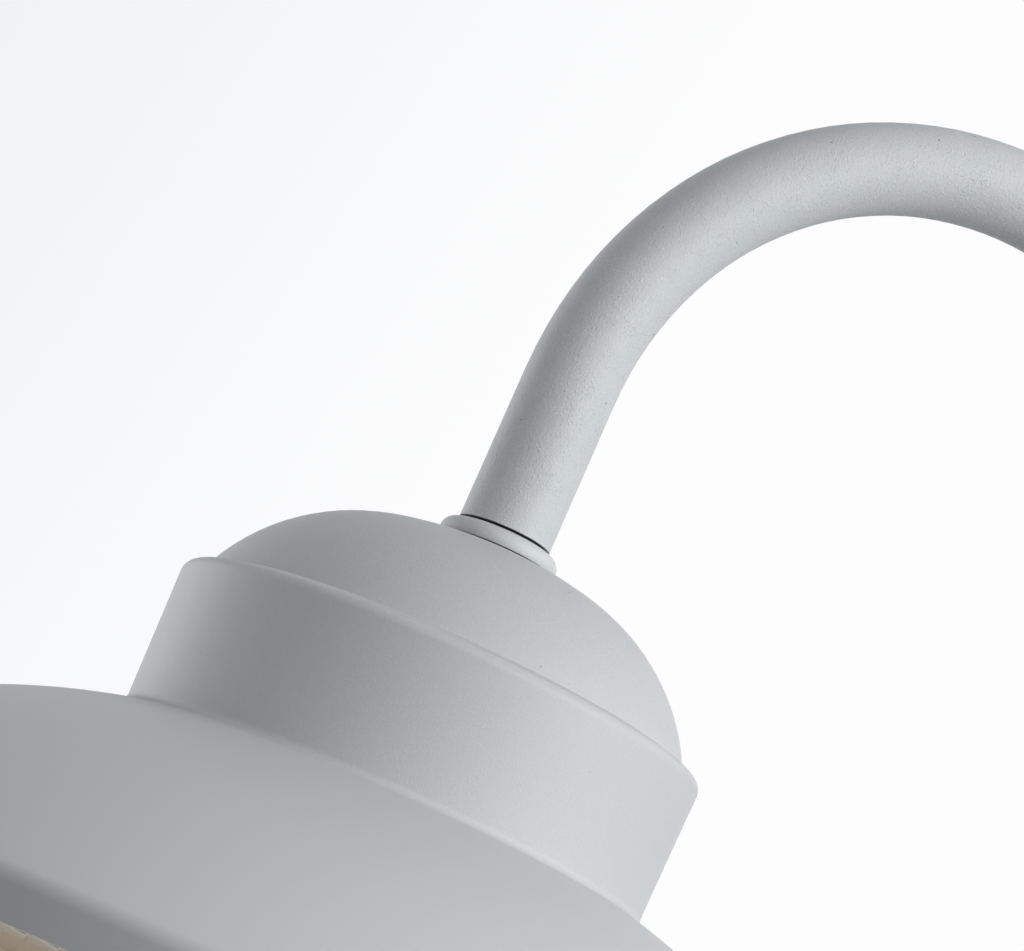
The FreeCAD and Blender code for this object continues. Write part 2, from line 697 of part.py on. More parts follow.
# spun head: crown, knuckle, creased shoulder, drum, flared shade and a skirt with a turned hem
head_outline = [
    (thread_bore, "0"),
    ("land_r", "0"),
    ("knuckle_start_r", "crown_foot_z", "crown_r", "right"),
    ("crease_r", "crease_z", "knuckle_r", "right"),
    ("shoulder_end_r", "shoulder_end_z"),
    ("drum_r", "drum_top_z", "shoulder_round_r", "right"),
    ("drum_foot_r", "foot_start_z"),
    ("shade_start_r", "shade_start_z", "foot_round_r", "left"),
    ("shade_end_r", "shade_end_z", "shade_bow_r", "right"),
    ("rim_r", "skirt_top_z", "rim_round_r", "right"),
    ("rim_r", "skirt_foot_z"),
    ("rim_r - hem_r", "skirt_foot_z - hem_r", "hem_r", "right"),
    ("rim_r - 2 * hem_r", "skirt_foot_z", "hem_r", "right"),
]
piece(spun("head", "head", head_outline, "head_wall"), "head_shell")

# lamp holder: threaded cap, sleeve screwed over its spigot, ceramic core held between the two
piece(turned("holder_cap", "head", [
    (thread_bore, "head_nut_foot_z"),
    ("holder_boss_r", "head_nut_foot_z"),
    ("holder_boss_r", "cap_round_top_z"),
    ("holder_cap_r - holder_cap_round_r", "cap_round_top_z"),
    ("holder_cap_r", "cap_round_foot_z", "holder_cap_round_r", "right"),
    ("holder_cap_r", "cap_spigot_z"),
    ("holder_spigot_r", "cap_spigot_z"),
    ("holder_spigot_r", "cap_foot_z"),
    ("cap_hollow_r", "cap_foot_z"),
    ("cap_hollow_r", "cap_round_foot_z"),
    ("cap_hollow_r - cap_hollow_round_r", "cap_ceiling_z", "cap_hollow_round_r", "left"),
    ("holder_boss_r", "cap_ceiling_z"),
    ("holder_boss_r", "head_nut_foot_z - holder_grip"),
    (thread_bore, "head_nut_foot_z - holder_grip"),
]))
seat_r = "core_r + holder_seam"
sleeve_solid = turned("sleeve_solid", "head", [
    ("holder_spigot_r + holder_seam", "cap_spigot_z - holder_seam"),
    ("holder_cap_r", "cap_spigot_z - holder_seam"),
    ("holder_cap_r", "holder_foot_z + holder_mouth_round_r"),
    ("holder_cap_r - holder_mouth_round_r", "holder_foot_z", "holder_mouth_round_r", "right"),
    ("holder_mouth_r", "holder_foot_z"),
    ("holder_mouth_r", "holder_foot_z + holder_mouth_round_r"),
    (seat_r, "holder_foot_z + holder_mouth_round_r"),
    (seat_r, "flange_foot_z"),
    ("holder_spigot_r + holder_seam", "flange_foot_z"),
])
grip_count = 24
grip_grooves = []
for number in range(grip_count):
    angle = "%d * 360 / %d" % (number, grip_count)
    grip_grooves.append(rod(
        "grip_groove%d" % number, "head", "grip_groove_r", "grip_groove_length",
        "holder_foot_z + grip_margin",
        "grip_groove_out * cos(%s)" % angle, "grip_groove_out * sin(%s)" % angle))
piece(cut("holder_sleeve", sleeve_solid, *grip_grooves))
core = turned("core_solid", "head", [
    ("0", "core_foot_z"),
    ("core_r", "core_foot_z"),
    ("core_r", "flange_foot_z"),
    ("core_flange_r", "flange_foot_z"),
    ("core_flange_r", "cap_foot_z"),
    ("core_r", "cap_foot_z"),
    ("core_r", "core_top_z"),
    ("0", "core_top_z"),
])
pins = {"live": ("-live_post_across", "contact_t"), "neutral": ("neutral_post_across", "screw_shell_wall")}
pin_holes = []
posts = []
for wire, (across, plate_below) in pins.items():
    rivet_foot = "core_foot_z - %s - post_rivet_t" % plate_below
    pin_holes.append(rod(wire + "_pin_hole", "head", "post_pin_r + fit_gap", "core_t", "core_foot_z", across))
    body = block(wire + "_post_body", "head", "post_width", "post_width", "post_height", "core_top_z", across)
    pin = rod(wire + "_post_pin", "head", "post_pin_r", "core_top_z - core_foot_z + %s" % plate_below,
              "core_foot_z - %s" % plate_below, across)
    rivet = rod(wire + "_post_rivet", "head", "post_rivet_r", "post_rivet_t", rivet_foot, across)
    screw_foot = "core_top_z + post_height"
    screw_stub = rod(wire + "_post_screw", "head", "post_screw_r", "post_screw_rise", screw_foot, across)
    bore = rod(wire + "_post_bore", "head", "post_bore_r", "post_width", "post_bore_z",
               "%s - post_width / 2" % across, "0", sideways)
    slot = block(wire + "_post_slot", "head", "2 * post_screw_r", "clamp_screw_slot",
                 "clamp_screw_slot_depth", screw_foot + " + post_screw_rise - clamp_screw_slot_depth", across)
    solid = fused(wire + "_post_solid", body, pin, rivet, screw_stub)
    posts.append(cut(wire + "_post", solid, bore, slot))
piece(cut("holder_core", core, *pin_holes))
group("holder_terminals", *posts)

shell_rim_foot = "core_foot_z - screw_shell_wall"
screw_shell = turned("screw_shell_solid", "head", [
    ("screw_shell_rim_r", "core_foot_z"),
    ("screw_shell_rim_r", shell_rim_foot),
    ("screw_shell_r", shell_rim_foot),
    ("screw_shell_r", "core_foot_z - screw_shell_length"),
    ("screw_shell_r + screw_shell_wall", "core_foot_z - screw_shell_length"),
    ("screw_shell_r + screw_shell_wall", "core_foot_z"),
])
shell_hole = rod("shell_pin_hole", "head", "post_pin_r + thread_gap", "screw_shell_wall", shell_rim_foot,
                 "neutral_post_across")
piece(cut("holder_screw_shell", screw_shell, shell_hole))

# sprung centre contact: a strip bent down from under the core to the lamp's eyelet
strip = new_body("contact_strip")
strip_sketch = sketch_on(strip, "XZ_Plane")
outline(strip_sketch, [
    ("-contact_outer", "core_foot_z"),
    ("-contact_outer", "core_foot_z - contact_t"),
    ("-contact_bend", "core_foot_z - contact_t"),
    ("-contact_tip", "contact_tip_z"),
    ("contact_tip", "contact_tip_z"),
    ("contact_tip", "contact_tip_z + contact_t"),
    ("-contact_tip", "contact_tip_z + contact_t"),
    ("-contact_bend", "core_foot_z"),
])
strip_pad = pad(strip, strip_sketch, "contact_width")
strip_pad.Midplane = True
stand(strip, "head")
strip_hole_place = ("core_foot_z - contact_t", "-live_post_across")
strip_hole = rod("contact_pin_hole", "head", "post_pin_r + thread_gap", "contact_t", *strip_hole_place)
piece(cut("holder_centre_contact", strip, strip_hole))

# bulb: eyelet, black glass insulator, screw cap and opal glass
eyelet_edge_z = "insulator_top_z + bulb_eyelet_t / 2"
piece(turned("bulb_contact", "head", [
    ("0", "insulator_top_z"),
    ("bulb_eyelet_r", "insulator_top_z"),
    ("bulb_eyelet_r", eyelet_edge_z),
    ("bulb_eyelet_r - bulb_eyelet_t / 2", "bulb_top_z"),
    ("0", "bulb_top_z"),
]))
piece(turned("bulb_insulator", "head", [
    ("0", "cap_top_z"),
    ("bulb_insulator_r", "cap_top_z"),
    ("bulb_eyelet_r + bulb_eyelet_t / 2", "insulator_top_z"),
    ("0", "insulator_top_z"),
]))
shoulder_z = "cap_top_z - bulb_cap_shoulder"
inner_rim_r = "bulb_insulator_r - bulb_eyelet_r / 2"
piece(turned("bulb_cap", "head", [
    (inner_rim_r, "cap_top_z"),
    (inner_rim_r, "cap_top_z - bulb_cap_wall"),
    ("bulb_insulator_r", "cap_top_z - bulb_cap_wall"),
    ("bulb_cap_r - bulb_cap_wall", shoulder_z),
    ("bulb_cap_r - bulb_cap_wall", "glass_top_z"),
    ("bulb_cap_r", "glass_top_z"),
    ("bulb_cap_r", shoulder_z),
    ("bulb_insulator_r + bulb_cap_wall", "cap_top_z"),
]))
inner_ball_r = "(glass_ball_r - glass_wall)"
piece(turned("bulb_glass", "head", [
    ("glass_neck_r - glass_neck_wall", "glass_top_z"),
    ("glass_neck_r", "glass_top_z"),
    ("glass_side_r", "glass_side_z"),
    ("0", "glass_ball_z - glass_ball_r", "glass_ball_r", "right"),
    ("0", "glass_ball_z - %s" % inner_ball_r),
    ("glass_inner_r", "glass_inner_z", inner_ball_r, "left"),
]))

# wires, swept along straight runs and tangent bends
bend_report = []
joined = 1e-6


def wire_path(corners):
    # Corners are (x, y, z, bend radius). Neighbouring bends may meet with no straight run between them.
    points = [FreeCAD.Vector(*[value(words) for words in corner[:3]]) for corner in corners]
    edges = []
    here = points[0]
    for number in range(1, len(points) - 1):
        radius = value(corners[number][3])
        corner = points[number]
        arriving = (corner - points[number - 1]).normalize()
        leaving = (points[number + 1] - corner).normalize()
        half_angle = arriving.getAngle(leaving) / 2
        tangent = radius * math.tan(half_angle)
        start = corner - arriving * tangent
        end = corner + leaving * tangent
        to_centre = (leaving - arriving).normalize()
        middle = corner + to_centre * (radius / math.cos(half_angle) - radius)
        if (start - here).Length > joined:
            edges.append(Part.makeLine(here, start))
        edges.append(Part.Arc(start, middle, end).toShape())
        here = end
    edges.append(Part.makeLine(here, points[-1]))
    return Part.Wire(edges)


def wire(name, corners):
    path = wire_path(corners)
    first = path.Edges[0]
    begin = first.FirstParameter
    disc = Part.Wire([Part.makeCircle(value("wire_r"), first.valueAt(begin), first.tangentAt(begin))])
    swept_wire = path.makePipeShell([disc], True, True)
    made = doc.addObject("Part::Feature", name)
    made.Shape = Part.Solid(Part.Shell(swept_wire.Faces)) if swept_wire.ShapeType != "Solid" else swept_wire
    bend_report.append((name, path.Length, made.Shape.Volume))
    return piece(made)


pole_y = "-pole_up"
post_level = "head_seat_z + post_bore_z"
for name, pole, lane, post in (
    ("live_wire", "-pole_pitch", "-wire_spread", "-live_post_across"),
    ("neutral_wire", "0", "wire_spread", "neutral_post_across"),
):
    wire(name, [
        (pole, pole_y, "-block_drop"),
        (pole, pole_y, "-wire_lift_drop", "wire_bend_r"),
        (lane, "-wire_gather", "0", "wire_bend_r"),
        (lane, "-riser_y", "0", "wall_bend_r"),
        (lane, "-riser_y", "swan_top_z", "swan_r"),
        (lane, "-head_reach", "swan_top_z", "swan_r"),
        (lane, "-head_reach", post_level, "wire_turn_r"),
        (post, "-head_reach", post_level),
    ])
wire("earth_wire", [
    ("pole_pitch", pole_y, "-block_drop"),
    ("pole_pitch", pole_y, "-earth_lift_drop", "wire_bend_r"),
    ("earth_across", "-(%s)" % barrel_up, "0", "wire_bend_r"),
    ("earth_across", "-(%s)" % barrel_up, barrel_foot + " + earth_wire_grip"),
])

doc.recompute()

# Nothing is written unless every object is sound and every cut has taken something away.
for thing in doc.Objects:
    if "Invalid" in thing.State or "Error" in thing.State:
        raise RuntimeError("%s is %s" % (thing.Name, thing.State))
    if thing.TypeId == "Part::Cut" and thing.Shape.Volume >= thing.Base.Shape.Volume - joined:
        raise RuntimeError("%s cuts nothing" % thing.Name)
for thing in pieces:
    if thing.Shape.isNull() or not thing.Shape.isValid() or not thing.Shape.Solids:
        raise RuntimeError("%s has no sound solid" % thing.Label)
    box = thing.Shape.BoundBox
    print("%-24s %2d solids %9.1f mm3  x %7.2f %7.2f  y %8.2f %8.2f  z %7.2f %7.2f" % (
        thing.Label, len(thing.Shape.Solids), thing.Shape.Volume,
        box.XMin, box.XMax, box.YMin, box.YMax, box.ZMin, box.ZMax))
wire_area = math.pi * value("wire_r") ** 2
for name, length, volume in bend_report:
    share = volume / length / wire_area
    print("%s: %.1f mm long, volume %.4f of section times length" % (name, length, share))

os.makedirs("parts", exist_ok=True)
for thing in pieces:
    thing.Shape.exportStep("parts/%s.step" % thing.Label)
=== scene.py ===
import bpy
import json
import math
from mathutils import Matrix, Vector


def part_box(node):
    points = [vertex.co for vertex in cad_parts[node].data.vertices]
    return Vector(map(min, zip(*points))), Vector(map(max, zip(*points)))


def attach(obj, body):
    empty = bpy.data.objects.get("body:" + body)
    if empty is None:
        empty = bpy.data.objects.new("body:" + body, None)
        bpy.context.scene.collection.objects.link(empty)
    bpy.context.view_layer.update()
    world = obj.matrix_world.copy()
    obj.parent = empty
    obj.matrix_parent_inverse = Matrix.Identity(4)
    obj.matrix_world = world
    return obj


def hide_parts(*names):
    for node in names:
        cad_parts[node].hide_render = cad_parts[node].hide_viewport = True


# An outdoor wall light: powder-coated canopy, swan-neck tube and spun head, seen close up from its right side.
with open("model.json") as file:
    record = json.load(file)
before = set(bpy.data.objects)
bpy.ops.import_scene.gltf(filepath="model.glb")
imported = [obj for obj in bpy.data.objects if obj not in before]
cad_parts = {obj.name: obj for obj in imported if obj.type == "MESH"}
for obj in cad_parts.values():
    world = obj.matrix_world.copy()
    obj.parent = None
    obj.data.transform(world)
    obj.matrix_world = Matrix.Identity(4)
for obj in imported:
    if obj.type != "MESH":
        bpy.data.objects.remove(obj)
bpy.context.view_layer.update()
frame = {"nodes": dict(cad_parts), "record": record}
nodes = frame["nodes"]
mm = 0.001
print("frame loaded with", len(nodes), "nodes")


def joinNormals(mesh, axis=None):
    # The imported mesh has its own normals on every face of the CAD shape. Where two of them run on smoothly, the
    # normals differ by about half a facet, which shows as a line, so both get one that the larger facets lead.
    # A spun piece has an upright axis: it has stray normals in its thin rounds too, so all points of a ring get
    # the same normal, and none leans round the axis.
    corners = mesh.corner_normals
    normals = [Vector() for vertex in mesh.vertices]
    weights = [0.0] * len(normals)
    for face in mesh.polygons:
        for corner in face.loop_indices:
            vertex = mesh.loops[corner].vertex_index
            normals[vertex] = corners[corner].vector.copy()
            weights[vertex] += face.area
    rings = {}
    turns = {}
    for vertex in mesh.vertices:
        place = tuple(round(c, seamPlaces) for c in vertex.co)
        if axis:
            outward = vertex.co - axis
            turns[vertex.index] = Matrix.Rotation(math.atan2(outward.y, outward.x), 3, "Z")
            flat = turns[vertex.index].transposed() @ normals[vertex.index]
            normals[vertex.index] = Vector((flat.x, 0, flat.z)).normalized()
            place = (round(math.hypot(outward.x, outward.y), ringPlaces), round(outward.z, ringPlaces))
        rings.setdefault(place, []).append(vertex.index)
    limit = math.cos(math.radians(smoothTurn))
    joined = list(normals)
    for group in rings.values():
        found = []
        for one in group:
            alike = [pair for pair in found if (pair[0] - normals[one]).length < sameNormal]
            if alike:
                joined[one] = alike[0][1]
                continue
            near = [other for other in group if normals[one].dot(normals[other]) > limit]
            joined[one] = sum((weights[other] * normals[other] for other in near), Vector()).normalized()
            found.append((normals[one], joined[one]))
    if axis:
        joined = [turns[index] @ normal for index, normal in enumerate(joined)]
    mesh.normals_split_custom_set_from_vertices(joined)


# the largest turn in degrees that still counts as smooth, the decimals in metres that tell one point and one
# ring from the next, and how near two normals count as one
smoothTurn = 26.0
seamPlaces = 7
ringPlaces = 5
sameNormal = 0.0001
collarLow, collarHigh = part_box("head_collar")
headAxis = (collarLow + collarHigh) / 2
spunPieces = ("head_shell", "head_collar", "bulb_glass")
for name, node in nodes.items():
    joinNormals(node.data, headAxis if name in spunPieces else None)
print("normals joined across the seams")


def linear(hexColour):
    # "#rrggbb" in sRGB to a linear colour with alpha, by the standard curve
    parts = [int(hexColour[place:place + 2], 16) / 255 for place in (1, 3, 5)]
    return tuple(c / 12.92 if c <= 0.04045 else ((c + 0.055) / 1.055) ** 2.4 for c in parts) + (1.0,)


def newMaterial(name, settings):
    # a material with its Principled shader set up from a dictionary of socket values
    material = bpy.data.materials.new(name)
    material.use_nodes = True
    shader = material.node_tree.nodes["Principled BSDF"]
    for socket, value in settings.items():
        shader.inputs[socket].default_value = linear(value) if isinstance(value, str) else value
    material.diffuse_color = shader.inputs["Base Color"].default_value
    return material, shader


def addNode(material, kind, settings=None, links=None, **options):
    # settings are socket values, links are where the inputs come from, options are the node's own choices; a Mix
    # node has its factor at socket 0, its colours at 6 and 7, and its mixed colour at output 2
    tree = material.node_tree
    node = tree.nodes.new("ShaderNode" + kind)
    for option, choice in options.items():
        setattr(node, option, choice)
    for socket, value in (settings or {}).items():
        node.inputs[socket].default_value = value
    for socket, source in (links or {}).items():
        tree.links.new(source, node.inputs[socket])
    return node


def perMetre(sizeMm):
    # a pattern's scale from the size of one of its grains
    return 1 / (sizeMm * mm)


# powder coat, polyester, baked over steel: a dull, even grey with a fine sand grain, a dark pinhole here and
# there and no clear reflections. The finest real grains are too small to show, so they are drawn 0.5 mm wide.
coatLook = {
    "colour": "#b4b7b9", "roughness": 0.56, "ior": 1.48,
    # the grain, its darker tone between two noise values, and its peaks, which rise in full in patches only
    "grainMm": 0.5, "grainDetail": 2.0, "grainMix": 0.55, "deep": "#aaadb0", "deepAt": 0.34, "paleAt": 0.66,
    "grainDepthMm": 0.12, "peakLow": 0.53, "peakHigh": 0.8,
    "patchMm": 6.0, "patchDetail": 1.0, "patchLow": 0.4, "patchHigh": 0.62, "patchShare": 0.65,
    "orangePeelMm": 1.7, "peelDetail": 2.0, "peelShare": 0.4,
    # pinholes lie in a share of cells of a set size, and are so many times deeper than a grain is high
    "pinhole": "#7b8083", "pinholeCellMm": 3.0, "pinholeMm": 0.36, "pinholeShare": 0.4, "pinholeDepth": 2.0,
}
# the grain is coarsest on the tube, and nearly gone on the small collars
tubeCoatLook = {**coatLook, "colour": "#bbbfc1", "deep": "#afb3b6", "grainDepthMm": 0.17}
collarCoatLook = {**coatLook, "colour": "#bbbfc0", "deep": "#b3b7b9", "grainDepthMm": 0.06}
# the head's coat flows out smooth away from its axis. A painted highlight makes it a little lighter towards the edge
# of the shade, painted shade makes the skirt darker, and its inside has a warm cream coat, which every face that
# looks down gets too, so that the hem's underside is painted lighter than the light from below leaves it
headCoatLook = {
    **coatLook, "sandyMm": 30.0, "smoothMm": 80.0, "smoothShare": 0.12,
    # painted highlight: between these distances from the axis the coat turns to this lighter tone
    "edge": "#babcbe", "edgeFromMm": 90.0, "edgeMm": 140.0,
    # painted shade: the skirt, this high over the shade's lowest edge, is this darker tone, which fades out up the
    # rim
    "skirt": "#a3a7a9", "skirtMm": 8.4, "skirtFadeMm": 4.0,
    # the cream inside, where a face looks towards the axis or down; on the downward faces of the hem it is also
    # painted light
    "inside": "#f7ead8", "inwardUnder": -0.002, "downUnder": -0.3,
}


def measureFromAxis(material, spot, axis):
    # the level way out from an upright axis, and its length
    outward = addNode(material, "VectorMath", {1: axis}, {0: spot}, operation="SUBTRACT")
    level = addNode(material, "VectorMath", {1: (1.0, 1.0, 0.0)}, {0: outward.outputs[0]}, operation="MULTIPLY")
    distance = addNode(material, "VectorMath", {}, {0: level.outputs[0]}, operation="LENGTH")
    return level.outputs[0], distance.outputs["Value"]


def addHeadPaintedLightAndCream(material, look, place, colour, level, distance, foot):
    # paints a highlight towards the edge of the shade and shade on the skirt, and gives the inside its cream
    # foot is the height of the shade's lowest edge, from which the skirt is measured
    # painted highlight: the coat turns lighter towards the edge of the shade
    outer = addNode(material, "MapRange", {
        "From Min": look["edgeFromMm"] * mm, "From Max": look["edgeMm"] * mm}, {"Value": distance})
    edgeLit = addNode(material, "Mix", {7: linear(look["edge"])}, {0: outer.outputs["Result"], 6: colour},
                    data_type="RGBA")
    upward = addNode(material, "SeparateXYZ", {}, {0: place.outputs["Object"]})
    # painted shade: the skirt is darker, and the shade fades out up its rim
    skirtTop = foot + look["skirtMm"] * mm
    skirtShadeShare = addNode(material, "MapRange", {
        "From Min": skirtTop + look["skirtFadeMm"] * mm, "From Max": skirtTop}, {"Value": upward.outputs["Z"]})
    skirtShaded = addNode(material, "Mix", {7: linear(look["skirt"])},
                      {0: skirtShadeShare.outputs["Result"], 6: edgeLit.outputs[2]}, data_type="RGBA")
    # the cream inside is where a face looks towards the axis; every face that looks down gets it too, which paints
    # the hem's underside lighter as painted light
    facing = addNode(material, "VectorMath", {}, {0: level, 1: place.outputs["Normal"]}, operation="DOT_PRODUCT")
    inward = addNode(material, "Math", {1: look["inwardUnder"]}, {0: facing.outputs["Value"]},
                     operation="LESS_THAN")
    normal = addNode(material, "SeparateXYZ", {}, {0: place.outputs["Normal"]})
    down = addNode(material, "Math", {1: look["downUnder"]}, {0: normal.outputs["Z"]}, operation="LESS_THAN")
    isCreamInsideOrDown = addNode(material, "Math", {}, {0: inward.outputs[0], 1: down.outputs[0]}, operation="MAXIMUM")
    return addNode(material, "Mix", {7: linear(look["inside"])}, {0: isCreamInsideOrDown.outputs[0], 6: skirtShaded.outputs[2]},
                   data_type="RGBA").outputs[2]


def makePowderCoat(look, name, axis=None, foot=None):
    # a coat with an axis is the spun head's: its grain fades with the distance from it, and it has a painted
    # highlight towards the edge of the shade, painted shade on the skirt and a cream inside
    material, shader = newMaterial(name, {
        "Base Color": look["colour"], "Roughness": look["roughness"], "IOR": look["ior"]})
    place = addNode(material, "TexCoord")
    spot = place.outputs["Object"]
    grain = addNode(material, "TexNoise", {
        "Scale": perMetre(look["grainMm"]), "Detail": look["grainDetail"], "Roughness": look["grainMix"]},
        {"Vector": spot})
    tone = addNode(material, "MapRange", {"From Min": look["paleAt"], "From Max": look["deepAt"]},
                   {"Value": grain.outputs["Fac"]})
    sandy = {}
    if axis:
        level, distance = measureFromAxis(material, spot, axis)
        sandy = {1: addNode(material, "MapRange", {
            "From Min": look["sandyMm"] * mm, "From Max": look["smoothMm"] * mm,
            "To Min": 1.0, "To Max": look["smoothShare"]}, {"Value": distance}).outputs["Result"]}
    deepness = addNode(material, "Math", {1: 1.0}, {0: tone.outputs["Result"], **sandy}, operation="MULTIPLY")
    colour = addNode(material, "Mix", {6: linear(look["colour"]), 7: linear(look["deep"])},
                     {0: deepness.outputs[0]}, data_type="RGBA").outputs[2]
    if axis:
        # the head's painted highlight, painted shade and cream inside
        colour = addHeadPaintedLightAndCream(material, look, place, colour, level, distance, foot)
    # a cell's own random colour says whether it has a pinhole, and how wide it is
    cells = addNode(material, "TexVoronoi", {"Scale": perMetre(look["pinholeCellMm"])}, {"Vector": spot})
    chance = addNode(material, "SeparateColor", {}, {0: cells.outputs["Color"]})
    width = addNode(material, "MapRange", {
        "From Min": 1 - look["pinholeShare"], "From Max": 1.0,
        "To Max": look["pinholeMm"] / look["pinholeCellMm"]}, {"Value": chance.outputs[0]})
    seenWidth = addNode(material, "Math", {1: 1.0}, {0: width.outputs["Result"], **sandy}, operation="MULTIPLY")
    isPit = addNode(material, "Math", {}, {0: cells.outputs["Distance"], 1: seenWidth.outputs[0]},
                    operation="LESS_THAN")
    pitted = addNode(material, "Mix", {7: linear(look["pinhole"])}, {0: isPit.outputs[0], 6: colour},
                     data_type="RGBA")
    # only the grain's peaks stand out, as single grains of sand, and more so in some patches
    patches = addNode(material, "TexNoise", {
        "Scale": perMetre(look["patchMm"]), "Detail": look["patchDetail"]}, {"Vector": spot})
    rise = addNode(material, "MapRange", {
        "From Min": look["patchLow"], "From Max": look["patchHigh"], "To Min": look["patchShare"]},
        {"Value": patches.outputs["Fac"]})
    peaks = addNode(material, "MapRange", {"From Min": look["peakLow"], "From Max": look["peakHigh"]},
                    {"Value": grain.outputs["Fac"], "To Max": rise.outputs["Result"]})
    pierced = addNode(material, "Math", {1: -look["pinholeDepth"]},
                      {0: isPit.outputs[0], 2: peaks.outputs["Result"]}, operation="MULTIPLY_ADD")
    peel = addNode(material, "TexNoise", {
        "Scale": perMetre(look["orangePeelMm"]), "Detail": look["peelDetail"]}, {"Vector": spot})
    height = addNode(material, "Math", {1: look["peelShare"]}, {0: peel.outputs["Fac"], 2: pierced.outputs[0]},
                     operation="MULTIPLY_ADD")
    strength = {"Strength": sandy[1]} if axis else {}
    relief = addNode(material, "Bump", {"Strength": 1.0, "Distance": look["grainDepthMm"] * mm},
                     {"Height": height.outputs[0], **strength})
    for source, socket in ((pitted.outputs[2], "Base Color"), (relief.outputs["Normal"], "Normal")):
        material.node_tree.links.new(source, shader.inputs[socket])
    return material


coat = makePowderCoat(coatLook, "greySandPowderCoat")
tubeCoat = makePowderCoat(tubeCoatLook, "coarseGreySandPowderCoat")
collarCoat = makePowderCoat(collarCoatLook, "smoothGreyPowderCoat")
headCoat = makePowderCoat(headCoatLook, "greySandPowderCoatCreamInside", tuple(headAxis),
                          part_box("head_shell")[0].z)
print("powder coat made")

# Each finish: its colour, the tone that clouds it, the size of the clouds, the size and depth of the grain that
# catches the light, how much longer than wide a grain is along Z, and its dull and bright roughness. The lines of
# brushed and drawn metal are finer than these in the real ones, and are drawn 0.1 to 0.15 mm wide so that they show.
detailLooks = {
    # zinc plate on steel: cool, cloudy, with a faint spangle
    "brightZincPlate": {"colour": "#c3c7c8", "cloud": "#b4b9bd", "cloudMm": 3.5, "grainMm": 0.5, "depthMm": 0.006,
                        "long": 1.0, "dull": 0.42, "bright": 0.27, "Metallic": 1.0},
    # satin stainless: fine brushed lines
    "satinStainless": {"colour": "#c9c8c4", "cloud": "#bab8b2", "cloudMm": 2.0, "grainMm": 0.12, "depthMm": 0.004,
                       "long": 12.0, "dull": 0.34, "bright": 0.2, "Metallic": 1.0},
    # rubber: black with a bloom and a fine mould grain
    "epdmRubber": {"colour": "#0d0d0e", "cloud": "#161616", "cloudMm": 4.0, "grainMm": 0.3, "depthMm": 0.02,
                   "long": 1.0, "dull": 0.82, "bright": 0.62, "IOR": 1.5, "Specular IOR Level": 0.25},
    # phenolic: near black with a brown marbling and a soft moulded gloss
    "mouldedPhenolic": {"colour": "#151313", "cloud": "#231b17", "cloudMm": 5.0, "grainMm": 0.8, "depthMm": 0.006,
                        "long": 1.0, "dull": 0.36, "bright": 0.24, "IOR": 1.6},
    # steatite: unglazed, warm white, with tiny pores
    "steatite": {"colour": "#ebe7db", "cloud": "#d9d3c3", "cloudMm": 6.0, "grainMm": 0.25, "depthMm": 0.02,
                 "long": 1.0, "dull": 0.75, "bright": 0.55, "IOR": 1.6},
    # drawn brass: warm, with draw lines and a little tarnish
    "drawnBrass": {"colour": "#d4ae62", "cloud": "#b08845", "cloudMm": 3.0, "grainMm": 0.15, "depthMm": 0.005,
                   "long": 8.0, "dull": 0.4, "bright": 0.24, "Metallic": 1.0},
    # rolled bronze strip: redder than the brass
    "springBronze": {"colour": "#c08a60", "cloud": "#9a6844", "cloudMm": 2.0, "grainMm": 0.15, "depthMm": 0.004,
                     "long": 6.0, "dull": 0.42, "bright": 0.26, "Metallic": 1.0},
    # moulded polyamide: milky, with flow marks
    "mouldedPolyamide": {"colour": "#e7e6df", "cloud": "#d6d4c9", "cloudMm": 5.0, "grainMm": 0.4, "depthMm": 0.01,
                         "long": 2.0, "dull": 0.58, "bright": 0.42, "IOR": 1.53},
    # wire insulation: extruded, so its ripples run along it
    "brownPvc": {"colour": "#4b2a1a", "cloud": "#3c2014", "cloudMm": 6.0, "grainMm": 0.4, "depthMm": 0.01,
                 "long": 10.0, "dull": 0.52, "bright": 0.38, "IOR": 1.53},
    # the same insulation in blue, and in green with its yellow stripes
    "bluePvc": {"colour": "#1f4f96", "cloud": "#194280", "cloudMm": 6.0, "grainMm": 0.4, "depthMm": 0.01,
                "long": 10.0, "dull": 0.52, "bright": 0.38, "IOR": 1.53},
    "greenYellowPvc": {"colour": "#3f8430", "cloud": "#35742a", "cloudMm": 6.0, "grainMm": 0.4, "depthMm": 0.01,
                       "long": 10.0, "dull": 0.52, "bright": 0.38, "IOR": 1.53, "stripe": "#d8c21f"},
    # drawn aluminium of the bulb's cap: bright, with fine lines round it
    "drawnAluminium": {"colour": "#d3d4d5", "cloud": "#bfc1c3", "cloudMm": 3.0, "grainMm": 0.1, "depthMm": 0.004,
                       "long": 0.1, "dull": 0.32, "bright": 0.18, "Metallic": 1.0},
    # solder: dull, uneven blobs
    "tinnedContact": {"colour": "#b9b9b4", "cloud": "#9c9c97", "cloudMm": 1.6, "grainMm": 0.8, "depthMm": 0.05,
                      "long": 1.0, "dull": 0.5, "bright": 0.28, "Metallic": 1.0},
    # pressed black glass: shiny with press ripples
    "blackPressedGlass": {"colour": "#0b0b0d", "cloud": "#101014", "cloudMm": 4.0, "grainMm": 1.5, "depthMm": 0.02,
                          "long": 1.0, "dull": 0.16, "bright": 0.09, "IOR": 1.52},
    # opal glass: smooth milk white, a little thicker and warmer in places, with a glow under its surface
    "opalGlass": {"colour": "#f4f1ea", "cloud": "#ece7db", "cloudMm": 14.0, "grainMm": 3.0, "depthMm": 0.012,
                  "long": 1.0, "dull": 0.17, "bright": 0.1, "IOR": 1.5, "Subsurface Weight": 0.35,
                  "Subsurface Radius": (1.0, 0.9, 0.8), "Subsurface Scale": 0.003},
}

# a noise's values are spread out between these two, its detail is that of the clouds or the grain, and a wire's
# stripes are where its normal turns this far to the side
noiseLow, noiseHigh = 0.35, 0.65
cloudDetail, grainDetail = 3.0, 2.0
stripeFrom = 0.72


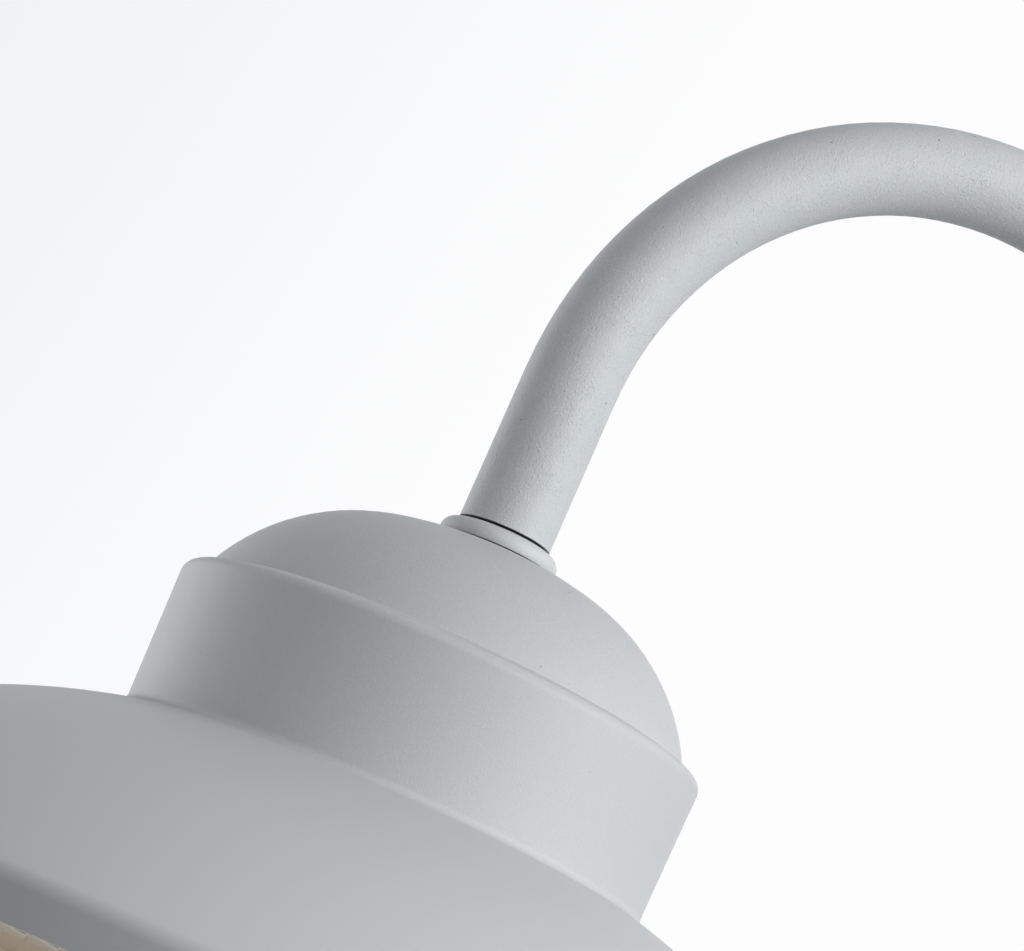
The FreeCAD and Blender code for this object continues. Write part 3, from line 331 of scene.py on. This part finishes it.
def makeDetailed(name, look):
    constants = {socket: value for socket, value in look.items() if socket[0].isupper()}
    material, shader = newMaterial(name, {"Base Color": look["colour"], **constants})
    place = addNode(material, "TexCoord")
    drawn = addNode(material, "VectorMath", {1: (1.0, 1.0, 1 / look["long"])}, {0: place.outputs["Object"]},
                    operation="MULTIPLY")
    clouds = addNode(material, "TexNoise", {"Scale": perMetre(look["cloudMm"]), "Detail": cloudDetail},
                     {"Vector": place.outputs["Object"]})
    grain = addNode(material, "TexNoise", {"Scale": perMetre(look["grainMm"]), "Detail": grainDetail},
                    {"Vector": drawn.outputs[0]})
    tone = addNode(material, "MapRange", {"From Min": noiseLow, "From Max": noiseHigh},
                   {"Value": clouds.outputs["Fac"]})
    colour = addNode(material, "Mix", {6: linear(look["cloud"]), 7: linear(look["colour"])},
                     {0: tone.outputs["Result"]}, data_type="RGBA")
    if "stripe" in look:
        # stripes run along the wire's two sides that face along X
        faces = addNode(material, "SeparateXYZ", {}, {0: place.outputs["Normal"]})
        sideways = addNode(material, "Math", {}, {0: faces.outputs["X"]}, operation="ABSOLUTE")
        striped = addNode(material, "Math", {1: stripeFrom}, {0: sideways.outputs[0]}, operation="GREATER_THAN")
        colour = addNode(material, "Mix", {7: linear(look["stripe"])},
                         {0: striped.outputs[0], 6: colour.outputs[2]}, data_type="RGBA")
    dullness = addNode(material, "MapRange", {
        "From Min": noiseLow, "From Max": noiseHigh, "To Min": look["bright"], "To Max": look["dull"]},
        {"Value": grain.outputs["Fac"]})
    relief = addNode(material, "Bump", {"Strength": 1.0, "Distance": look["depthMm"] * mm},
                     {"Height": grain.outputs["Fac"]})
    for source, socket in ((colour.outputs[2], "Base Color"), (dullness.outputs["Result"], "Roughness"),
                           (relief.outputs["Normal"], "Normal")):
        material.node_tree.links.new(source, shader.inputs[socket])
    return material


materials = {name: makeDetailed(name, look) for name, look in detailLooks.items()}
materials["greySandPowderCoat"] = coat

finishes = {
    "coat": "greySandPowderCoat", "zinc": "brightZincPlate", "stainless": "satinStainless",
    "rubber": "epdmRubber", "bakelite": "mouldedPhenolic", "porcelain": "steatite", "brass": "drawnBrass",
    "bronze": "springBronze", "block_plastic": "mouldedPolyamide", "live_sheath": "brownPvc",
    "neutral_sheath": "bluePvc", "earth_sheath": "greenYellowPvc", "bulb_metal": "drawnAluminium",
    "solder": "tinnedContact", "black_glass": "blackPressedGlass", "opal_glass": "opalGlass",
}
ownCoats = {"head_shell": headCoat, "swan_neck_tube": tubeCoat, "head_collar": collarCoat, "wall_collar": collarCoat}
for part in frame["record"]["subparts"]:
    mesh = nodes[part["node"]].data
    mesh.materials.clear()
    mesh.materials.append(ownCoats.get(part["node"], materials[finishes[part["material_slot"]]]))
print("finishes given to", len(nodes), "nodes")

# The bulb's screw cap: its thin metal is rolled into a round thread, seven turns to the inch, between a plain
# band above the glass and the shoulder, and its edge laps over the black insulator.
capLook = {"pitchMm": 3.629, "threadDepthMm": 0.95, "wallMm": 0.35, "lapMm": 0.7, "plainMm": 1.6, "fadeMm": 1.8,
           "shoulderMm": 1.6, "around": 96, "along": 110}


def rolledRadius(look, outer, low, high, angle, z):
    # the crest stays at the outer radius, and the thread fades out into the plain bands at both ends
    lowEnd = low + look["plainMm"] * mm
    highEnd = high - look["plainMm"] * mm
    fade = min(1.0, max(0.0, min(z - lowEnd, highEnd - z) / (look["fadeMm"] * mm)))
    wave = 0.5 - 0.5 * math.cos(2 * math.pi * (z - low) / (look["pitchMm"] * mm) - angle)
    return outer - look["threadDepthMm"] * mm * wave * fade


def makeBulbCap(look):
    capLow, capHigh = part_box("bulb_cap")
    insulatorLow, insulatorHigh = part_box("bulb_insulator")
    axis = (capLow + capHigh) / 2
    outer = (capHigh.x - capLow.x) / 2
    topRadius = (insulatorHigh.x - insulatorLow.x) / 2
    wall = look["wallMm"] * mm
    shoulder = capHigh.z - look["shoulderMm"] * mm
    lap = topRadius - look["lapMm"] * mm
    heights = [capLow.z + (shoulder - capLow.z) * step / look["along"] for step in range(look["along"] + 1)]
    # the rings run up the outside, round the lap and down the inside
    rings = [(z, lambda angle, z=z: rolledRadius(look, outer, capLow.z, shoulder, angle, z)) for z in heights]
    rings += [(capHigh.z, lambda angle: topRadius + wall), (capHigh.z, lambda angle: lap),
              (capHigh.z - wall, lambda angle: lap), (capHigh.z - wall, lambda angle: topRadius)]
    rings += [(z, lambda angle, z=z: rolledRadius(look, outer, capLow.z, shoulder, angle, z) - wall)
              for z in reversed(heights)]
    around = look["around"]
    points = []
    for z, radiusAt in rings:
        for step in range(around):
            angle = 2 * math.pi * step / around
            radius = radiusAt(angle)
            points.append((axis.x + radius * math.cos(angle), axis.y + radius * math.sin(angle), z))
    faces = []
    for row in range(len(rings)):
        following = (row + 1) % len(rings)
        for step in range(around):
            beside = (step + 1) % around
            faces.append((row * around + step, row * around + beside,
                          following * around + beside, following * around + step))
    mesh = bpy.data.meshes.new("bulbScrewCap")
    mesh.from_pydata(points, [], faces)
    mesh.shade_smooth()
    mesh.materials.append(materials["drawnAluminium"])
    cap = bpy.data.objects.new("bulbScrewCap", mesh)
    bpy.context.scene.collection.objects.link(cap)
    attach(cap, "bulb")
    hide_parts("bulb_cap")


makeBulbCap(capLook)
print("bulb cap rolled")

# The camera is worked out from where the tube's foot and its axis stand in the photograph: the foot's pixel and
# distance, and the axis's tilt and lean and the head's turn round it, in radians.
cameraLook = {
    "imageSize": (1024, 951), "lensPixels": 3500.0, "sensorMm": 36.0,
    "footPixel": (504.24, 534.94), "footDistanceMm": 787.67, "footMm": (0.0, -282.4, 62.8),
    "axisTilt": 0.417, "axisLean": 0.197, "turn": 0.323, "nearestMm": 10.0,
}


def makeCamera(look):
    # the picture's own axes: right, down, forward
    tilt, lean, turn = look["axisTilt"], look["axisLean"], look["turn"]
    upAxis = Vector((math.sin(tilt) * math.cos(lean), -math.cos(tilt) * math.cos(lean), math.sin(lean)))
    right = Vector((math.cos(tilt), math.sin(tilt), 0))
    deep = upAxis.cross(right)
    if deep.z < 0:
        deep = -deep
    wallAxis = math.cos(turn) * right + math.sin(turn) * deep
    sideAxis = wallAxis.cross(upAxis)
    toRoom = Matrix((sideAxis, wallAxis, upAxis))
    width, height = look["imageSize"]
    pixelX, pixelY = look["footPixel"]
    distance = look["footDistanceMm"] * mm
    lens = look["lensPixels"]
    foot = Vector(((pixelX - width / 2) / lens, (pixelY - height / 2) / lens, 1)) * distance
    place = Vector(look["footMm"]) * mm - toRoom @ foot
    pictureRight = toRoom @ Vector((1, 0, 0))
    pictureUp = toRoom @ Vector((0, -1, 0))
    towardsEye = toRoom @ Vector((0, 0, -1))
    data = bpy.data.cameras.new("photoCamera")
    data.sensor_width = look["sensorMm"]
    data.lens = lens * look["sensorMm"] / width
    data.clip_start = look["nearestMm"] * mm
    camera = bpy.data.objects.new("photoCamera", data)
    turned = Matrix((pictureRight, pictureUp, towardsEye)).transposed()
    camera.matrix_world = Matrix.Translation(place) @ turned.to_4x4()
    bpy.context.scene.collection.objects.link(camera)
    bpy.context.scene.camera = camera
    return pictureRight, pictureUp, towardsEye


pictureRight, pictureUp, towardsEye = makeCamera(cameraLook)
print("camera stands", tuple(round(c, 3) for c in bpy.context.scene.camera.location))

# Studio light: two large soft boxes on the picture's right, one behind on the left, and a pale surround. The
# backdrop is a little darker to the picture's left and top. A lamp's direction is (right, up, towards the eye).
lightLook = {
    "aim": (0.0, -0.297, 0.06), "distance": 1.5, "size": 1.3,
    "lamps": {
        "softBoxRight": {"direction": (1.0, 0.15, 0.45), "watts": 21.0},
        "softBoxFront": {"direction": (1.0, -0.1, 0.75), "watts": 7.4},
        "softBoxBehind": {"direction": (-1.0, 0.25, -0.55), "watts": 13.4},
    },
    "surround": 0.315, "backdrop": "#fdfdfe", "backdropDark": "#f0f1f3", "topWeight": 0.7, "fadeFrom": -0.25,
}


def seenDirectly(owner):
    # 1 for the eye, and in mirrors and through glass, so that they all meet the same pale backdrop
    ray = addNode(owner, "LightPath")
    mirrored = addNode(owner, "Math", {}, {0: ray.outputs["Is Camera Ray"], 1: ray.outputs["Is Glossy Ray"]},
                       operation="MAXIMUM")
    return addNode(owner, "Math", {}, {0: mirrored.outputs[0], 1: ray.outputs["Is Transmission Ray"]},
                   operation="MAXIMUM").outputs[0]


def backdropTone(world, look):
    # the tone goes by direction in the room, so it stays where it is when the eye moves
    place = addNode(world, "TexCoord")
    brightSide = pictureRight - look["topWeight"] * pictureUp
    along = addNode(world, "VectorMath", {1: brightSide}, {0: place.outputs["Generated"]}, operation="DOT_PRODUCT")
    fade = addNode(world, "MapRange", {"From Min": look["fadeFrom"], "From Max": 0.0},
                   {"Value": along.outputs["Value"]})
    return addNode(world, "Mix", {6: linear(look["backdropDark"]), 7: linear(look["backdrop"])},
                   {0: fade.outputs["Result"]}, data_type="RGBA").outputs[2]


def makeLights(look):
    aim = Vector(look["aim"])
    for name, lamp in look["lamps"].items():
        across, up, near = lamp["direction"]
        direction = (across * pictureRight + up * pictureUp + near * towardsEye).normalized()
        data = bpy.data.lights.new(name, "AREA")
        data.shape = "SQUARE"
        data.size = look["size"]
        data.energy = lamp["watts"]
        light = bpy.data.objects.new(name, data)
        light.location = aim + direction * look["distance"]
        light.rotation_euler = direction.to_track_quat("Z", "Y").to_euler()
        bpy.context.scene.collection.objects.link(light)
    world = bpy.data.worlds.new("paleSurround")
    bpy.context.scene.world = world
    world.use_nodes = True
    surround = world.node_tree.nodes["Background"]
    surround.inputs["Color"].default_value = linear(look["backdrop"])
    surround.inputs["Strength"].default_value = look["surround"]
    white = addNode(world, "Background", {"Strength": 1.0}, {"Color": backdropTone(world, look)})
    both = addNode(world, "MixShader", {}, {0: seenDirectly(world), 1: surround.outputs[0], 2: white.outputs[0]})
    world.node_tree.links.new(both.outputs[0], world.node_tree.nodes["World Output"].inputs["Surface"])


makeLights(lightLook)
bpy.context.scene.view_settings.view_transform = "Standard"

# A plain pale floor well under the light, which fades into the backdrop and is clear from below. To the eye it is
# nearly as white as the backdrop and keeps the object's shadow; it throws little light back, as the photograph's
# low, dark surfaces show.
floorLook = {"height": -1.6, "size": 9.0, "colour": "#e9e9e8", "thrown": "#a6a6a5", "roughness": 0.9,
             "glow": 0.55, "fadeFrom": 2.4, "fadeTo": 4.4}


def makeFloor(look):
    half = look["size"] / 2
    mesh = bpy.data.meshes.new("studioFloor")
    mesh.from_pydata([(-half, -half, 0), (half, -half, 0), (half, half, 0), (-half, half, 0)], [], [(0, 1, 2, 3)])
    floor = bpy.data.objects.new("studioFloor", mesh)
    floor.location = (0, 0, look["height"])
    bpy.context.scene.collection.objects.link(floor)
    material, shader = newMaterial("paleFloorPaint", {
        "Base Color": look["colour"], "Roughness": look["roughness"], "Emission Color": look["colour"]})
    seen = seenDirectly(material)
    colour = addNode(material, "Mix", {6: linear(look["thrown"]), 7: linear(look["colour"])}, {0: seen},
                     data_type="RGBA")
    glow = addNode(material, "Math", {1: look["glow"]}, {0: seen}, operation="MULTIPLY")
    material.node_tree.links.new(colour.outputs[2], shader.inputs["Base Color"])
    material.node_tree.links.new(glow.outputs[0], shader.inputs["Emission Strength"])
    place = addNode(material, "TexCoord")
    reach = addNode(material, "VectorMath", {}, {0: place.outputs["Object"]}, operation="LENGTH")
    fade = addNode(material, "MapRange", {"From Min": look["fadeFrom"], "From Max": look["fadeTo"]},
                   {"Value": reach.outputs["Value"]}, interpolation_type="SMOOTHSTEP")
    side = addNode(material, "NewGeometry")
    gone = addNode(material, "Math", {}, {0: fade.outputs["Result"], 1: side.outputs["Backfacing"]},
                   operation="MAXIMUM")
    clear = addNode(material, "BsdfTransparent")
    both = addNode(material, "MixShader", {}, {0: gone.outputs[0], 1: shader.outputs[0], 2: clear.outputs[0]})
    material.node_tree.links.new(both.outputs[0], material.node_tree.nodes["Material Output"].inputs["Surface"])
    mesh.materials.append(material)


makeFloor(floorLook)
print("studio set up")
